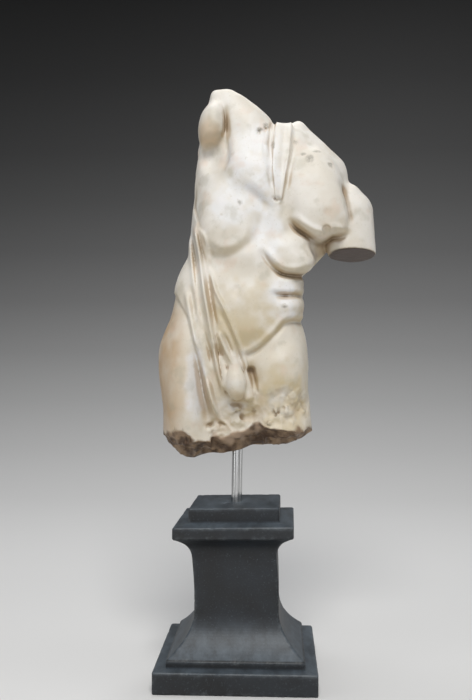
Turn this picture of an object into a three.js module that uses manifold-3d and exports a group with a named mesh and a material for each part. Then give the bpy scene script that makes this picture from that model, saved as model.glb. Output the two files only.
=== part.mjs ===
// Marble torso of a draped youth on a steel rod, set on a profiled dark stone plinth.
// Millimetres, +Z up, the viewer's right is +X and the front faces -Y.
// The origin is the middle of the plinth's underside.
import * as THREE from 'three';
import { mergeVertices } from 'three/addons/utils/BufferGeometryUtils.js';
import Module from 'manifold-3d';

// ---- driving dimensions -------------------------------------------------
const BASE = { half: 100, top: 26.5 };            // lowest slab
const STEP = { half: 85, top: 36 };               // fillet on the slab
const SHAFT = { half: 53, low: 88, high: 148 };   // waisted shaft
const CAP = { half: 75, bottom: 180.5, top: 196, crown: 198.5 };
const BLOCK = { half: 57, top: 217 };             // uppermost block
const CAP_TWIST = -0.016;                         // the cap is not quite true to the base
const CAP_SHIFT = -2.5;
const CAP_TILT = 0.018;
const ROD = { radius: 7, foot: 188, head: 332, lean: 0.0195, x: -1.5 };
const GAP = 0.3;                                  // clearance round the rod
const CELL = 9;                                   // sampling of the carved surface
const BOUNDS = [[-121, -89, 260], [194, 94, 770]];

// ---- small helpers ------------------------------------------------------
const clamp = (v, a, b) => Math.min(b, Math.max(a, v));
const ease = (t) => { t = clamp(t, 0, 1); return t * t * (3 - 2 * t); };
const rad = (d) => d * Math.PI / 180;

// values between named stations, rows sorted by their first number
function between(rows, q, col = 1) {
  if (q <= rows[0][0]) return rows[0][col];
  for (let i = 1; i < rows.length; i++) {
    if (q <= rows[i][0]) {
      const t = (q - rows[i - 1][0]) / (rows[i][0] - rows[i - 1][0]);
      return rows[i - 1][col] + (rows[i][col] - rows[i - 1][col]) * t;
    }
  }
  return rows[rows.length - 1][col];
}

// smooth union and smooth cut of two distances
function join(a, b, k) {
  const h = clamp(0.5 + 0.5 * (b - a) / k, 0, 1);
  return b + (a - b) * h - k * h * (1 - h);
}
const keep = (a, b, k) => -join(-a, -b, k);

// squarish ellipsoid: tilt leans its top to +X, nod leans it to +Y
function egg(p, c, r, { tilt = 0, nod = 0, power = 2 } = {}) {
  let x = p[0] - c[0], y = p[1] - c[1], z = p[2] - c[2];
  const a = rad(tilt), b = rad(nod);
  [x, z] = [x * Math.cos(a) - z * Math.sin(a), x * Math.sin(a) + z * Math.cos(a)];
  [y, z] = [y * Math.cos(b) - z * Math.sin(b), y * Math.sin(b) + z * Math.cos(b)];
  x = Math.abs(x) / r[0]; y = Math.abs(y) / r[1]; z = Math.abs(z) / r[2];
  const f = Math.max((x ** power + y ** power + z ** power) ** (1 / power), 1e-6);
  const q = power - 1;
  const g = f ** (1 - power) * Math.hypot(x ** q / r[0], y ** q / r[1], z ** q / r[2]);
  return (f - 1) / Math.max(g, 1e-4);
}

// rounded cone from a to b
function limb(p, a, b, ra, rb, flat = 1) {
  const d = [b[0] - a[0], b[1] - a[1], b[2] - a[2]];
  const q = [p[0] - a[0], p[1] - a[1], p[2] - a[2]];
  const t = clamp((q[0] * d[0] + q[1] * d[1] + q[2] * d[2]) / (d[0] ** 2 + d[1] ** 2 + d[2] ** 2), 0, 1);
  return Math.hypot(q[0] - t * d[0], (q[1] - t * d[1]) * flat, q[2] - t * d[2]) - (ra + (rb - ra) * t);
}

// ---- the body -----------------------------------------------------------
// height, left edge, right edge, front, back
const TRUNK = [
  [350, -72, 70, -36, 48], [380, -94, 86, -48, 64], [410, -102, 89, -54, 68],
  [435, -99, 86, -58, 64], [455, -94, 83, -59, 58], [480, -87, 86, -57, 51],
  [503, -83, 84, -53, 46], [520, -77, 88, -52, 47], [540, -66, 97, -54, 51],
  [565, -64, 106, -57, 55], [590, -63, 112, -59, 59], [615, -61, 115, -58, 61],
  [640, -58, 118, -54, 60], [665, -53, 116, -47, 56], [690, -46, 100, -36, 49],
  [709, -16, 78, -27, 42],
];
function trunk([x, y, z]) {
  const zc = clamp(z, TRUNK[0][0], TRUNK[TRUNK.length - 1][0]);
  const [l, r, a, b] = [1, 2, 3, 4].map((k) => between(TRUNK, zc, k));
  const dx = x - (l + r) / 2, dy = y - (a + b) / 2;
  const s = Math.max((Math.abs(dx * 2 / (r - l)) ** 2.35 + Math.abs(dy * 2 / (b - a)) ** 2.35) ** (1 / 2.35), 1e-3);
  let d = Math.hypot(dx, dy) * (1 - 1 / s);
  d = keep(d, z - TRUNK[TRUNK.length - 1][0], 14);
  return keep(d, TRUNK[0][0] - z, 20);
}
function body(p) {
  const [x, y, z] = p;
  let f = trunk(p);
  // thighs and seat
  f = join(f, limb(p, [-56, 8, 410], [-58, -2, 250], 46, 42, 0.92), 22);
  f = join(f, limb(p, [48, 2, 412], [56, -2, 250], 41, 47, 0.9), 16);
  f = join(f, egg(p, [48, -18, 372], [40, 38, 58], { power: 2.2 }), 14);
  f = join(f, egg(p, [-71, 12, 386], [33, 48, 62]), 14);
  f = join(f, egg(p, [-6, -4, 330], [34, 30, 80]), 14);
  f = join(f, egg(p, [-48, 44, 388], [42, 38, 42]), 10);
  f = join(f, egg(p, [42, 40, 396], [42, 36, 40]), 10);
  // belly, side of the back, shoulder blades, lower ribs
  f = join(f, egg(p, [16, -24, 460], [58, 36, 58], { nod: -6 }), 20);
  f = join(f, egg(p, [86, 18, 578], [46, 34, 70], { tilt: 22 }), 10);
  f = join(f, egg(p, [98, 40, 628], [30, 24, 44], { tilt: -16 }), 14);
  f = join(f, egg(p, [-4, 38, 648], [32, 24, 46], { tilt: 18 }), 14);
  f = join(f, egg(p, [60, -14, 566], [54, 42, 55], { tilt: 4, nod: -3, power: 2.4 }), 12);
  // chest and lowered arm with its broken end
  f = join(f, egg(p, [97, -16, 616], [41, 41, 54], { tilt: -22, nod: 9, power: 2.2 }), 12);
  f = join(f, egg(p, [125, -14, 592], [18, 28, 34], { tilt: -12, power: 2.2 }), 5);
  const lowered = keep(limb(p, [140.5, 2, 591], [152, -1, 520], 36, 29), 538 - 0.185 * y - z, 3);
  f = join(f, lowered, 7);
  f = join(f, egg(p, [106, 4, 645], [26, 38, 48], { tilt: -42 }), 14);
  f = join(f, limb(p, [77, 12, 690], [118, 12, 648], 21, 26), 14);
  f = join(f, egg(p, [79, 4, 699], [11, 14, 17]), 5);
  // raised shoulder and the stump of its arm
  f = join(f, egg(p, [20, -14, 640], [40, 38, 58], { tilt: -34, nod: 10, power: 2.1 }), 14);
  let raised = limb(p, [24, -5, 655], [-6, 2, 726], 36, 32);
  raised = join(raised, egg(p, [18, -2, 702], [31, 30, 38], { tilt: -30 }), 12);
  raised = keep(raised, 0.67 * x + 0.742 * z - 564, 14);
  raised = join(raised, egg(p, [-31, 3, 716], [19, 27, 38], { tilt: 14 }), 6);
  raised = keep(raised, z - 757, 3);
  return join(f, raised, 8);
}

// ---- relief, drawn on the front and on the back ---------------------------
// distance to a path of points, and the side of it: +1 on its right hand
function offPath(x, z, path) {
  let best = 1e9, side = 1, along = 0, run = 0;
  for (let i = 1; i < path.length; i++) {
    const [ax, az] = path[i - 1], [bx, bz] = path[i];
    const sx = bx - ax, sz = bz - az, len = Math.hypot(sx, sz);
    const t = clamp(((x - ax) * sx + (z - az) * sz) / (len * len), 0, 1);
    const ex = x - ax - t * sx, ez = z - az - t * sz, d = Math.hypot(ex, ez);
    if (d < best) { best = d; side = sz * ex - sx * ez < 0 ? -1 : 1; along = run + t * len; }
    run += len;
  }
  return [best, side, Math.min(along, run - along)];
}
function fold(x, z, path, width, height, ends = 20) {
  const [d, , end] = offPath(x, z, path);
  return height * Math.exp(-((d / width) ** 2)) * ease(end / ends);
}
function border(x, z, path, width, height, ends = 20) {
  const [d, side, end] = offPath(x, z, path);
  const q = d / width;
  return height * side * 2.087 * q * Math.exp(-0.8 * q * q) * ease(end / ends);
}
function swell(x, z, c, r, height, tilt = 0) {
  const a = rad(tilt), dx = x - c[0], dz = z - c[1];
  const u = (dx * Math.cos(a) - dz * Math.sin(a)) / r[0], v = (dx * Math.sin(a) + dz * Math.cos(a)) / r[1];
  return height * ease(1 - Math.hypot(u, v));
}

// right edge of the cloth and the line where it crosses the thigh: height, x
const HEM = [[320, 30], [360, 20], [392, 14], [425, 3], [465, -13], [494, -27], [547, -41], [575, -52], [690, -50]];
const LAP = [[300, -30], [345, -38], [408, -50], [456, -62], [486, -80], [500, -100]];
function cloth(x, z) {
  return ease((between(HEM, z) - x) / 6 + 0.5) * ease((x - between(LAP, z)) / 6 + 0.5);
}
function frontRelief(x, z) {
  let h = -swell(x, z, [-40, 664], [27, 30], 9);
  h += swell(x, z, [-8, 598], [62, 66], 4.5, 14);
  h += border(x, z, [[46, 600], [24, 569], [10, 551], [-5, 545], [-19, 545], [-41, 568]], 10, 1.3, 30);
  h += border(x, z, [[60, 596], [35, 607], [4, 627], [-22, 660]], 10, 1.6, 30);
  h += border(x, z, [[139, 570], [120, 562], [104, 559], [86, 568], [60, 588]], 7, 1.6, 20);
  h += border(x, z, [[90, 519], [75, 512], [60, 510], [39, 524], [28, 550]], 8, 1.4, 20);
  h += fold(x, z, [[46, 602], [24, 560], [20, 530], [0, 492]], 8, -1.5);
  h += fold(x, z, [[-18, 734], [-14, 698], [-15, 679], [-12, 663], [-20, 644]], 6, -3.4, 16);
  h += fold(x, z, [[36, 488], [90, 488]], 7, -1.8, 14);
  h += border(x, z, [[96, 456], [67, 454], [49, 436], [31, 421], [0, 411]], 6, 1.3, 14);
  h += swell(x, z, [76, 467], [24, 18], 4);
  h -= swell(x, z, [50, 425], [40, 24], 3, -30);
  h += fold(x, z, [[130, 636], [141, 592], [138, 564]], 6, -2.2);
  // band hanging over the breastbone
  h += fold(x, z, [[60, 712], [59, 660], [54, 604]], 9, 2.6, 10);
  const c = cloth(x, z);
  h = h * (1 - 0.8 * c) + 2.5 * c;
  // main folds of the cloth, and the lap beside the thigh
  h += fold(x, z, [[-64, 600], [-60, 524], [-53, 459], [-42, 420]], 5.5, 3, 30);
  h += fold(x, z, [[-56, 540], [-47, 465], [-31, 394]], 5, -3, 40);
  h += fold(x, z, [[-56, 600], [-43, 510], [-34, 448], [-16, 366]], 5.5, 3.4, 30);
  h += fold(x, z, [[-38, 540], [-22, 478], [-5, 447], [14, 392]], 5, 2, 24);
  h += fold(x, z, [[-26, 440], [-5, 402], [0, 394]], 5, 3.6, 14);
  h += fold(x, z, [[-30, 430], [-16, 390]], 5, -3.6, 14);
  h += fold(x, z, [[-66, 480], [-60, 440], [-54, 350], [-50, 290]], 11, 4, 40);
  h += fold(x, z, [[-48, 425], [-35, 345], [-27, 300]], 7, -8, 34);
  return h;
}
function backRelief(x, z) {
  let h = fold(x, z, [[62, 700], [52, 640], [34, 570], [12, 500], [0, 450], [-2, 420]], 8, -6, 40);
  h += fold(x, z, [[-2, 440], [-2, 300]], 7, -9, 30);
  h += fold(x, z, [[22, 560], [0, 500], [-14, 455]], 12, 3, 40);
  h += fold(x, z, [[60, 560], [34, 500], [16, 455]], 12, 3, 40);
  for (let k = 0; k < 3; k++) {
    const t = k / 2;
    h += fold(x, z, [[-44 + t * 22, 690 - t * 20], [-50 + t * 24, 600], [-58 + t * 30, 520],
      [-78 + t * 42, 430], [-82 + t * 46, 270]], 6, 3.4, 50);
  }
  return h;
}

// ---- the broken underside: x, height at the back, height at the front ------
const BREAK = [
  [-110, 318, 312], [-98, 303, 310], [-79, 281, 307], [-63, 275, 302], [-52, 276, 298], [-35, 281, 306],
  [0, 284, 321], [29, 291, 325], [43, 292, 314], [68, 293, 314], [82, 299, 317], [110, 322, 322],
];
function underside(x, y) {
  const a = between(BREAK, x, 1), b = between(BREAK, x, 2);
  return a + (b - a) * clamp((2 - y) / 50, 0, 1.2);
}

// signed distance to the whole carving, negative inside
function carving(p) {
  const [x, y, z] = p;
  let f = body(p);
  if (Math.abs(f) < 30) {
    f -= frontRelief(x, z) * ease((18 - y) / 30);
    f -= backRelief(x, z) * ease((y - 20) / 16);
  }
  f = join(f, join(limb(p, [-14, -46, 420], [0, -42, 372], 10, 13), egg(p, [1, -38, 364], [15, 18, 17]), 6), 5);
  f = keep(f, -limb(p, [17, -48, 394], [21, -48, 360], 5, 4), 5);
  return keep(f, (underside(x, y) - z) * 0.8, 2);
}

// ---- a mesh from the distance: one vertex in each cell the surface crosses --
function meshOf(field, [lo, hi], cell) {
  const n = lo.map((v, k) => Math.ceil((hi[k] - v) / cell) + 1);
  const at = (i, j, k) => (k * n[1] + j) * n[0] + i;
  const values = new Float64Array(n[0] * n[1] * n[2]);
  for (let k = 0; k < n[2]; k++) for (let j = 0; j < n[1]; j++) for (let i = 0; i < n[0]; i++) {
    values[at(i, j, k)] = field([lo[0] + i * cell, lo[1] + j * cell, lo[2] + k * cell]);
  }
  // where the four corners of a square alternate in sign, the weakest one changes side
  for (let found = true; found;) {
    found = false;
    for (let k = 0; k < n[2] - 1; k++) for (let j = 0; j < n[1] - 1; j++) for (let i = 0; i < n[0] - 1; i++) {
      for (const [u, w] of [[[1, 0, 0], [0, 1, 0]], [[0, 1, 0], [0, 0, 1]], [[0, 0, 1], [1, 0, 0]]]) {
        const square = [[0, 0], [1, 0], [1, 1], [0, 1]].map(([s, t]) => at(
          i + u[0] * s + w[0] * t, j + u[1] * s + w[1] * t, k + u[2] * s + w[2] * t));
        const sign = square.map((m) => values[m] < 0);
        if (sign[0] === sign[1] || sign[1] === sign[2] || sign[2] === sign[3]) continue;
        const weakest = square.reduce((a, b) => (Math.abs(values[b]) < Math.abs(values[a]) ? b : a));
        values[weakest] *= -0.5;
        found = true;
      }
    }
  }
  const corners = [...Array(8).keys()].map((c) => [c & 1, (c >> 1) & 1, c >> 2]);
  const vertexOf = new Map(), points = [];
  for (let k = 0; k < n[2] - 1; k++) for (let j = 0; j < n[1] - 1; j++) for (let i = 0; i < n[0] - 1; i++) {
    const v = corners.map(([a, b, c]) => values[at(i + a, j + b, k + c)]);
    const inside = v.filter((q) => q < 0).length;
    if (inside === 0 || inside === 8) continue;
    const sum = [0, 0, 0];
    let hits = 0;
    for (let a = 0; a < 8; a++) for (let axis = 0; axis < 3; axis++) {
      const b = a | (1 << axis);
      if (b === a || (v[a] < 0) === (v[b] < 0)) continue;
      const t = v[a] / (v[a] - v[b]);
      for (let m = 0; m < 3; m++) sum[m] += corners[a][m] + (corners[b][m] - corners[a][m]) * t;
      hits++;
    }
    vertexOf.set(at(i, j, k), points.length);
    points.push([lo[0] + (i + sum[0] / hits) * cell, lo[1] + (j + sum[1] / hits) * cell, lo[2] + (k + sum[2] / hits) * cell]);
  }
  const faces = [];
  const step = [[1, 0, 0], [0, 1, 0], [0, 0, 1]];
  for (let k = 1; k < n[2] - 1; k++) for (let j = 1; j < n[1] - 1; j++) for (let i = 1; i < n[0] - 1; i++) {
    const here = values[at(i, j, k)] < 0;
    for (let axis = 0; axis < 3; axis++) {
      const [a, b, c] = step[axis];
      if (here === (values[at(i + a, j + b, k + c)] < 0)) continue;
      const u = step[(axis + 1) % 3], w = step[(axis + 2) % 3];
      const q = [[1, 1], [0, 1], [0, 0], [1, 0]].map(([s, t]) => vertexOf.get(
        at(i - u[0] * s - w[0] * t, j - u[1] * s - w[1] * t, k - u[2] * s - w[2] * t)));
      if (!here) q.reverse();
      const [p0, p1, p2, p3] = q.map((m) => points[m]);
      const d02 = Math.hypot(p0[0] - p2[0], p0[1] - p2[1], p0[2] - p2[2]);
      const d13 = Math.hypot(p1[0] - p3[0], p1[1] - p3[1], p1[2] - p3[2]);
      if (d02 < d13) faces.push(q[0], q[1], q[2], q[0], q[2], q[3]);
      else faces.push(q[1], q[2], q[3], q[1], q[3], q[0]);
    }
  }
  // settle every vertex on the surface itself
  for (const p of points) {
    for (let turn = 0; turn < 3; turn++) {
      const e = 0.5, f = field(p);
      const g = [0, 1, 2].map((m) => {
        const a = [...p], b = [...p];
        a[m] += e; b[m] -= e;
        return (field(a) - field(b)) / (2 * e);
      });
      const gg = Math.max(g[0] ** 2 + g[1] ** 2 + g[2] ** 2, 0.25);
      const move = clamp(f / gg, -cell * 0.3, cell * 0.3);
      for (let m = 0; m < 3; m++) p[m] -= g[m] * move;
    }
  }
  return { points, faces };
}

// ---- solids and their cuts ----------------------------------------------
const wasm = await Module();
wasm.setup();
function solidOf(points, faces) {
  return new wasm.Manifold(new wasm.Mesh({
    numProp: 3, vertProperties: new Float32Array(points.flat()), triVerts: new Uint32Array(faces),
  }));
}
function solidOfGeometry(geometry) {
  const g = geometry.clone();
  g.deleteAttribute('normal');
  g.deleteAttribute('uv');
  const m = mergeVertices(g, 1e-4);
  const pos = m.attributes.position, points = [];
  for (let i = 0; i < pos.count; i++) points.push([pos.getX(i), pos.getY(i), pos.getZ(i)]);
  return solidOf(points, [...m.index.array]);
}
function geometryOf(solid) {
  const m = solid.getMesh();
  const g = new THREE.BufferGeometry();
  g.setAttribute('position', new THREE.BufferAttribute(new Float32Array(m.vertProperties), 3));
  g.setIndex(new THREE.BufferAttribute(new Uint32Array(m.triVerts), 1));
  g.computeVertexNormals();
  return g;
}

// leaning bar from height a to height b, for the rod and for its sockets
function bar(radius, a, b, sides) {
  const g = new THREE.CylinderGeometry(radius, radius, b - a, sides);
  g.rotateX(Math.PI / 2);
  g.translate(0, 0, (a + b) / 2 - ROD.foot);
  g.rotateY(ROD.lean);
  g.translate(ROD.x, 0, ROD.foot);
  return g;
}

// ---- the plinth: one profile swept round a square --------------------------
function plinthProfile() {
  const p = [[0, 0], [BASE.half, 0], [BASE.half, BASE.top], [STEP.half, BASE.top], [STEP.half, STEP.top]];
  // hollow flare from the step up to the shaft
  const flare = 9;
  for (let i = 1; i <= flare; i++) {
    const t = i / flare;
    p.push([SHAFT.half + (STEP.half - 1 - SHAFT.half) * (1 - t) ** 2.1, STEP.top + (SHAFT.low - STEP.top) * t]);
  }
  // hollow moulding under the cap
  const hollow = 8;
  for (let i = 0; i <= hollow; i++) {
    const t = i / hollow;
    p.push([SHAFT.half + (CAP.half - 3 - SHAFT.half) * t ** 3, SHAFT.high + (CAP.bottom - SHAFT.high) * t ** 0.9]);
  }
  p.push([CAP.half, CAP.bottom + 1], [CAP.half, CAP.top], [BLOCK.half, CAP.crown], [BLOCK.half, BLOCK.top], [0, BLOCK.top]);
  return p.map(([h, z]) => new THREE.Vector2(h * Math.SQRT2, z));
}
function plinthGeometry() {
  const g = new THREE.LatheGeometry(plinthProfile(), 4, Math.PI / 4);
  g.rotateX(Math.PI / 2);
  const pos = g.attributes.position;
  for (let i = 0; i < pos.count; i++) {
    const x = pos.getX(i), y = pos.getY(i), z = pos.getZ(i), t = ease((z - 110) / 60);
    const c = Math.cos(CAP_TWIST * t), s = Math.sin(CAP_TWIST * t);
    pos.setXYZ(i, c * x - s * y + CAP_SHIFT * t, s * x + c * y, z + CAP_TILT * x * t);
  }
  return g;
}

// ---- the object ------------------------------------------------------------
const group = new THREE.Group();
function add(name, geometry, color, roughness, metalness) {
  const mesh = new THREE.Mesh(geometry, new THREE.MeshStandardMaterial({ color, roughness, metalness }));
  mesh.name = name;
  group.add(mesh);
}

const shape = meshOf(carving, BOUNDS, CELL);
const torso = solidOf(shape.points, shape.faces)
  .subtract(solidOfGeometry(bar(ROD.radius + GAP + 0.1, 230, ROD.head + GAP, 24)));
add('torso', geometryOf(torso), 0xd9d3c6, 0.55, 0.0);

add('support_rod', bar(ROD.radius, ROD.foot, ROD.head, 40), 0xb9bcc0, 0.2, 1.0);

const plinth = solidOfGeometry(plinthGeometry())
  .subtract(solidOfGeometry(bar(ROD.radius + GAP + 0.1, ROD.foot - GAP, 260, 24)));
add('plinth', geometryOf(plinth), 0x2b2f35, 0.6, 0.0);

export default group;
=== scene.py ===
"""Marble torso of a draped youth, held by a steel rod over a profiled dark stone plinth.

The marble is carved in millimetres as one distance field: rounded volumes are run together,
creases, folds and chips are drawn on them, and the surface is meshed in one closed skin.
The plinth is a profile taken round a square, and the rod is turned.
"""
import math

import bpy
import numpy as np
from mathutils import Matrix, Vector


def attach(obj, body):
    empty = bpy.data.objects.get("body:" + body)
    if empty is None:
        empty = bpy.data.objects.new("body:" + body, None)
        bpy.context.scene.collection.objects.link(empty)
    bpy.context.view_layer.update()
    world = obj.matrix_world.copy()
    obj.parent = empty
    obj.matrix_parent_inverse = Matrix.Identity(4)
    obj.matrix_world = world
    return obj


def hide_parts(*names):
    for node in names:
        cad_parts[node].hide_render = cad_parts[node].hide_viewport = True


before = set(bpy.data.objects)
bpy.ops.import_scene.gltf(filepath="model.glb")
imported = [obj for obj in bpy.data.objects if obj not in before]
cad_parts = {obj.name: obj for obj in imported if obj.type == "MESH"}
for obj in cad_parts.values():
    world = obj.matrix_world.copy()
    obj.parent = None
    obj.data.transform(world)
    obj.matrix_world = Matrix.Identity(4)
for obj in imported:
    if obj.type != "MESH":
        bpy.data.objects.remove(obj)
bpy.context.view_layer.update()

MM = 0.001
MATH = "ShaderNodeMath"
MIX = "ShaderNodeMix"

# ---------------------------------------------------------------- volumes


def join(a, b, k):
    """Two volumes run together over about k millimetres."""
    h = np.clip(0.5 + 0.5 * (b - a) / k, 0, 1)
    return b + (a - b) * h - k * h * (1 - h)


def keep(a, b, k):
    """What lies in both volumes, with the edge between them rounded over k."""
    return -join(-a, -b, k)


def carve(a, b, k):
    """Volume a with b cut out of it."""
    return keep(a, -b, k)


def smooth(t):
    t = np.clip(t, 0, 1)
    return t * t * (3 - 2 * t)


def egg(p, centre, radii, tilt=0, nod=0, power=2.0):
    """A rounded mass. tilt leans its top to +X, nod leans it back, power above 2 squares it up."""
    x, y, z = (a - c for a, c in zip(p, centre))
    a, b = math.radians(tilt), math.radians(nod)
    x, z = x * math.cos(a) - z * math.sin(a), x * math.sin(a) + z * math.cos(a)
    y, z = y * math.cos(b) - z * math.sin(b), y * math.sin(b) + z * math.cos(b)
    x, y, z = (np.abs(v) / r for v, r in zip((x, y, z), radii))
    size = np.maximum((x**power + y**power + z**power) ** (1 / power), 1e-6)
    q = power - 1
    slope = (x**q / radii[0]) ** 2 + (y**q / radii[1]) ** 2 + (z**q / radii[2]) ** 2
    slope = size ** (1 - power) * np.sqrt(slope)
    return (size - 1) / np.maximum(slope, 1e-4)


def limb(p, start, end, r0, r1, flat=1.0):
    """A rounded cone from start to end. flat over 1 thins it from front to back."""
    d = np.subtract(end, start)
    q = [a - s for a, s in zip(p, start)]
    t = np.clip(sum(a * b for a, b in zip(q, d)) / (d @ d), 0, 1)
    x, y, z = (a - t * b for a, b in zip(q, d))
    return np.sqrt(x * x + (y * flat) ** 2 + z * z) - (r0 + (r1 - r0) * t)


def spline(rows, column, q):
    """Smooth values between stations; each row starts with its place."""
    rows = np.asarray(rows, float)
    xs, ys = rows[:, 0], rows[:, column]
    h = np.diff(xs)
    d = np.diff(ys) / h
    m = np.concatenate([d[:1], (d[:-1] * h[1:] + d[1:] * h[:-1]) / (h[:-1] + h[1:]), d[-1:]])
    i = np.clip(np.searchsorted(xs, q) - 1, 0, len(h) - 1)
    t = np.clip((q - xs[i]) / h[i], 0, 1)
    near = (1 + 2 * t) * (1 - t) ** 2 * ys[i] + t * (1 - t) ** 2 * h[i] * m[i]
    far = t * t * (3 - 2 * t) * ys[i + 1] + t * t * (t - 1) * h[i] * m[i + 1]
    return near + far


def lattice(i, j, k, seed):
    """A fixed number from -1 to 1 for each lattice point."""
    n = (i * 374761393 + j * 668265263 + k * 1274126177 + seed * 974634777) & 0xFFFFFFFF
    n = ((n ^ (n >> 13)) * 1274126177) & 0xFFFFFFFF
    n = n ^ (n >> 16)
    return (n & 0xFFFF) / 32767.5 - 1


def rough(p, size, seed):
    """Lumpy noise from -1 to 1, its lumps about size millimetres apart."""
    x, y, z = (a / size for a in p)
    i, j, k = (np.floor(a).astype(np.int64) for a in (x, y, z))
    u, v, w = (smooth(a - b) for a, b in ((x, i), (y, j), (z, k)))
    total = 0
    for a in (0, 1):
        for b in (0, 1):
            for c in (0, 1):
                share = (u if a else 1 - u) * (v if b else 1 - v) * (w if c else 1 - w)
                total = total + share * lattice(i + a, j + b, k + c, seed)
    return total


# ---------------------------------------------------------------- the body

TRUNK_POWER = 2.35
# height, left edge, right edge, front, back
TRUNK = [
    (350, -72, 70, -34, 48),
    (380, -91, 84, -42, 64),
    (410, -98, 87, -48, 68),
    (435, -94, 85, -50, 64),
    (455, -89, 83, -50, 58),
    (480, -83, 85, -49, 51),
    (503, -79, 84, -46, 46),
    (520, -73, 88, -42, 47),
    (540, -63, 96, -42, 51),
    (565, -61, 106, -44, 55),
    (590, -59, 112, -46, 59),
    (615, -57, 115, -46, 61),
    (640, -56, 112, -44, 60),
    (665, -54, 108, -40, 56),
    (690, -46, 98, -33, 49),
    (706, -16, 78, -27, 42),
]


def trunk(p):
    x, y, z = p
    low, high = TRUNK[0][0], TRUNK[-1][0]
    levels = np.arange(low, high + 1.0)
    at = np.clip(z, low, high)
    left, right, front, rear = (np.interp(at, levels, spline(TRUNK, c, levels)) for c in (1, 2, 3, 4))
    dx, dy = x - (left + right) / 2, y - (front + rear) / 2
    reach = np.abs(2 * dx / (right - left)) ** TRUNK_POWER + np.abs(2 * dy / (rear - front)) ** TRUNK_POWER
    d = np.hypot(dx, dy) * (1 - 1 / np.maximum(reach ** (1 / TRUNK_POWER), 1e-3))
    d = keep(d, z - high, 14)
    return keep(d, low - z, 20)


def legs(p, f):
    """Thighs, seat and the cloth-covered middle."""
    f = join(f, limb(p, (-56, 8, 410), (-58, -2, 250), 43, 40, flat=0.9), 22)
    f = join(f, egg(p, (-63, -16, 372), (30, 38, 96)), 10)
    f = join(f, limb(p, (48, 2, 412), (56, -2, 250), 39, 46.5, flat=0.88), 16)
    f = join(f, egg(p, (49, -18, 384), (38, 37, 56), power=2.3), 10)
    f = join(f, egg(p, (-70, 12, 386), (31.5, 48, 62)), 14)
    f = join(f, egg(p, (4, -6, 326), (42, 34, 60)), 18)
    f = join(f, egg(p, (-48, 44, 388), (42, 38, 42)), 10)
    return join(f, egg(p, (42, 40, 396), (42, 36, 40)), 10)


def belly_and_back(p, f):
    f = join(f, egg(p, (12, -22, 462), (56, 38, 56), nod=-6), 16)
    f = join(f, egg(p, (24, -20, 528), (38, 32, 52)), 12)
    # the roll of the flank and the roll that lies over the hip
    f = join(f, egg(p, (55, -16, 499), (28, 31, 19), tilt=-10), 12)
    f = join(f, egg(p, (61, -16, 469), (23, 34, 18), tilt=-12), 10)
    # side of the back, shoulder blades
    f = join(f, egg(p, (87, 18, 582), (45, 34, 66), tilt=26), 10)
    f = join(f, egg(p, (98, 40, 628), (30, 24, 44), tilt=-16), 14)
    return join(f, egg(p, (-4, 38, 648), (32, 24, 46), tilt=18), 14)


def rib_cage(p, f):
    """Ribs of the stretched side, and those that overhang the waist on the other."""
    f = join(f, egg(p, (-9, -21, 581), (40, 31, 52), tilt=6, nod=6, power=2.6), 14)
    f = join(f, egg(p, (64, 4, 550), (41, 38, 36), tilt=6, power=2.4), 8)
    # a ridge comes down from the breastbone and turns along the last ribs
    f = join(f, limb(p, (47, -23, 594), (61, -27, 545), 20, 20), 12)
    return join(f, egg(p, (64, -24, 534), (35, 29, 28), nod=8, power=2.6), 8)


def arm_cut(y):
    """Height of the flat break across the hanging arm."""
    return 538.0 - 0.185 * y


def lowered_side(p, f):
    """Chest, shoulder and the arm stump that hangs."""
    y, z = p[1], p[2]
    f = join(f, egg(p, (97, -13, 610), (41, 41, 60), tilt=-18, nod=9, power=2.8), 11)
    f = join(f, egg(p, (127, -14, 588), (17, 33, 32), tilt=-12, nod=6, power=2.5), 5)
    arm = limb(p, (140.5, 2, 591), (152, -1, 520), 36, 29)
    arm = keep(arm, arm_cut(y) - z, 3)
    f = join(f, arm, 7)
    f = join(f, egg(p, (146.5, 2, 618), (11.5, 22, 13)), 8)
    f = join(f, egg(p, (105, 4, 645), (25, 38, 46), tilt=-42), 14)
    f = join(f, limb(p, (77, 12, 690), (118, 12, 648), 23.5, 25), 14)
    return join(f, egg(p, (79, 4, 699), (11, 14, 17)), 5)


def raised_side(p, f):
    """Chest, shoulder and the stump of the arm that was held up."""
    x, z = p[0], p[2]
    f = join(f, egg(p, (20, -15, 640), (39, 40, 58), tilt=-34, nod=10, power=2.1), 8)
    arm = limb(p, (24, -5, 655), (-6, 2, 726), 36, 33)
    arm = join(arm, egg(p, (17, -2, 702), (30, 31, 38), tilt=-30), 12)
    arm = keep(arm, (0.55 * x + 0.835 * z) - 626, 8)
    arm = join(arm, egg(p, (-20, 0, 735), (17, 24, 20), power=3.5), 6)
    arm = join(arm, limb(p, (-21, -4, 730), (-31, -8, 703), 17, 20), 6)
    arm = join(arm, egg(p, (-31, -14, 706), (20, 31, 33), tilt=12, nod=6), 4)
    arm = keep(arm, z - 755, 3)
    return join(f, arm, 8)


def volumes(p):
    f = trunk(p)
    f = legs(p, f)
    f = belly_and_back(p, f)
    f = rib_cage(p, f)
    f = lowered_side(p, f)
    return raised_side(p, f)


# ---------------------------------------------------------------- what is drawn on the body


def path(points, steps=6):
    """A smooth line through a few points."""
    p = np.asarray(points, float)
    q = np.vstack([2 * p[0] - p[1], p, 2 * p[-1] - p[-2]])
    t = np.linspace(0, 1, steps, endpoint=False)[:, None]
    line = []
    for a, b, c, d in zip(q, q[1:], q[2:], q[3:]):
        bend = (2 * a - 5 * b + 4 * c - d) * t**2
        line.append(0.5 * (2 * b + (c - a) * t + bend + (3 * b - a - 3 * c + d) * t**3))
    return np.vstack(line + [p[-1:]])


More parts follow.
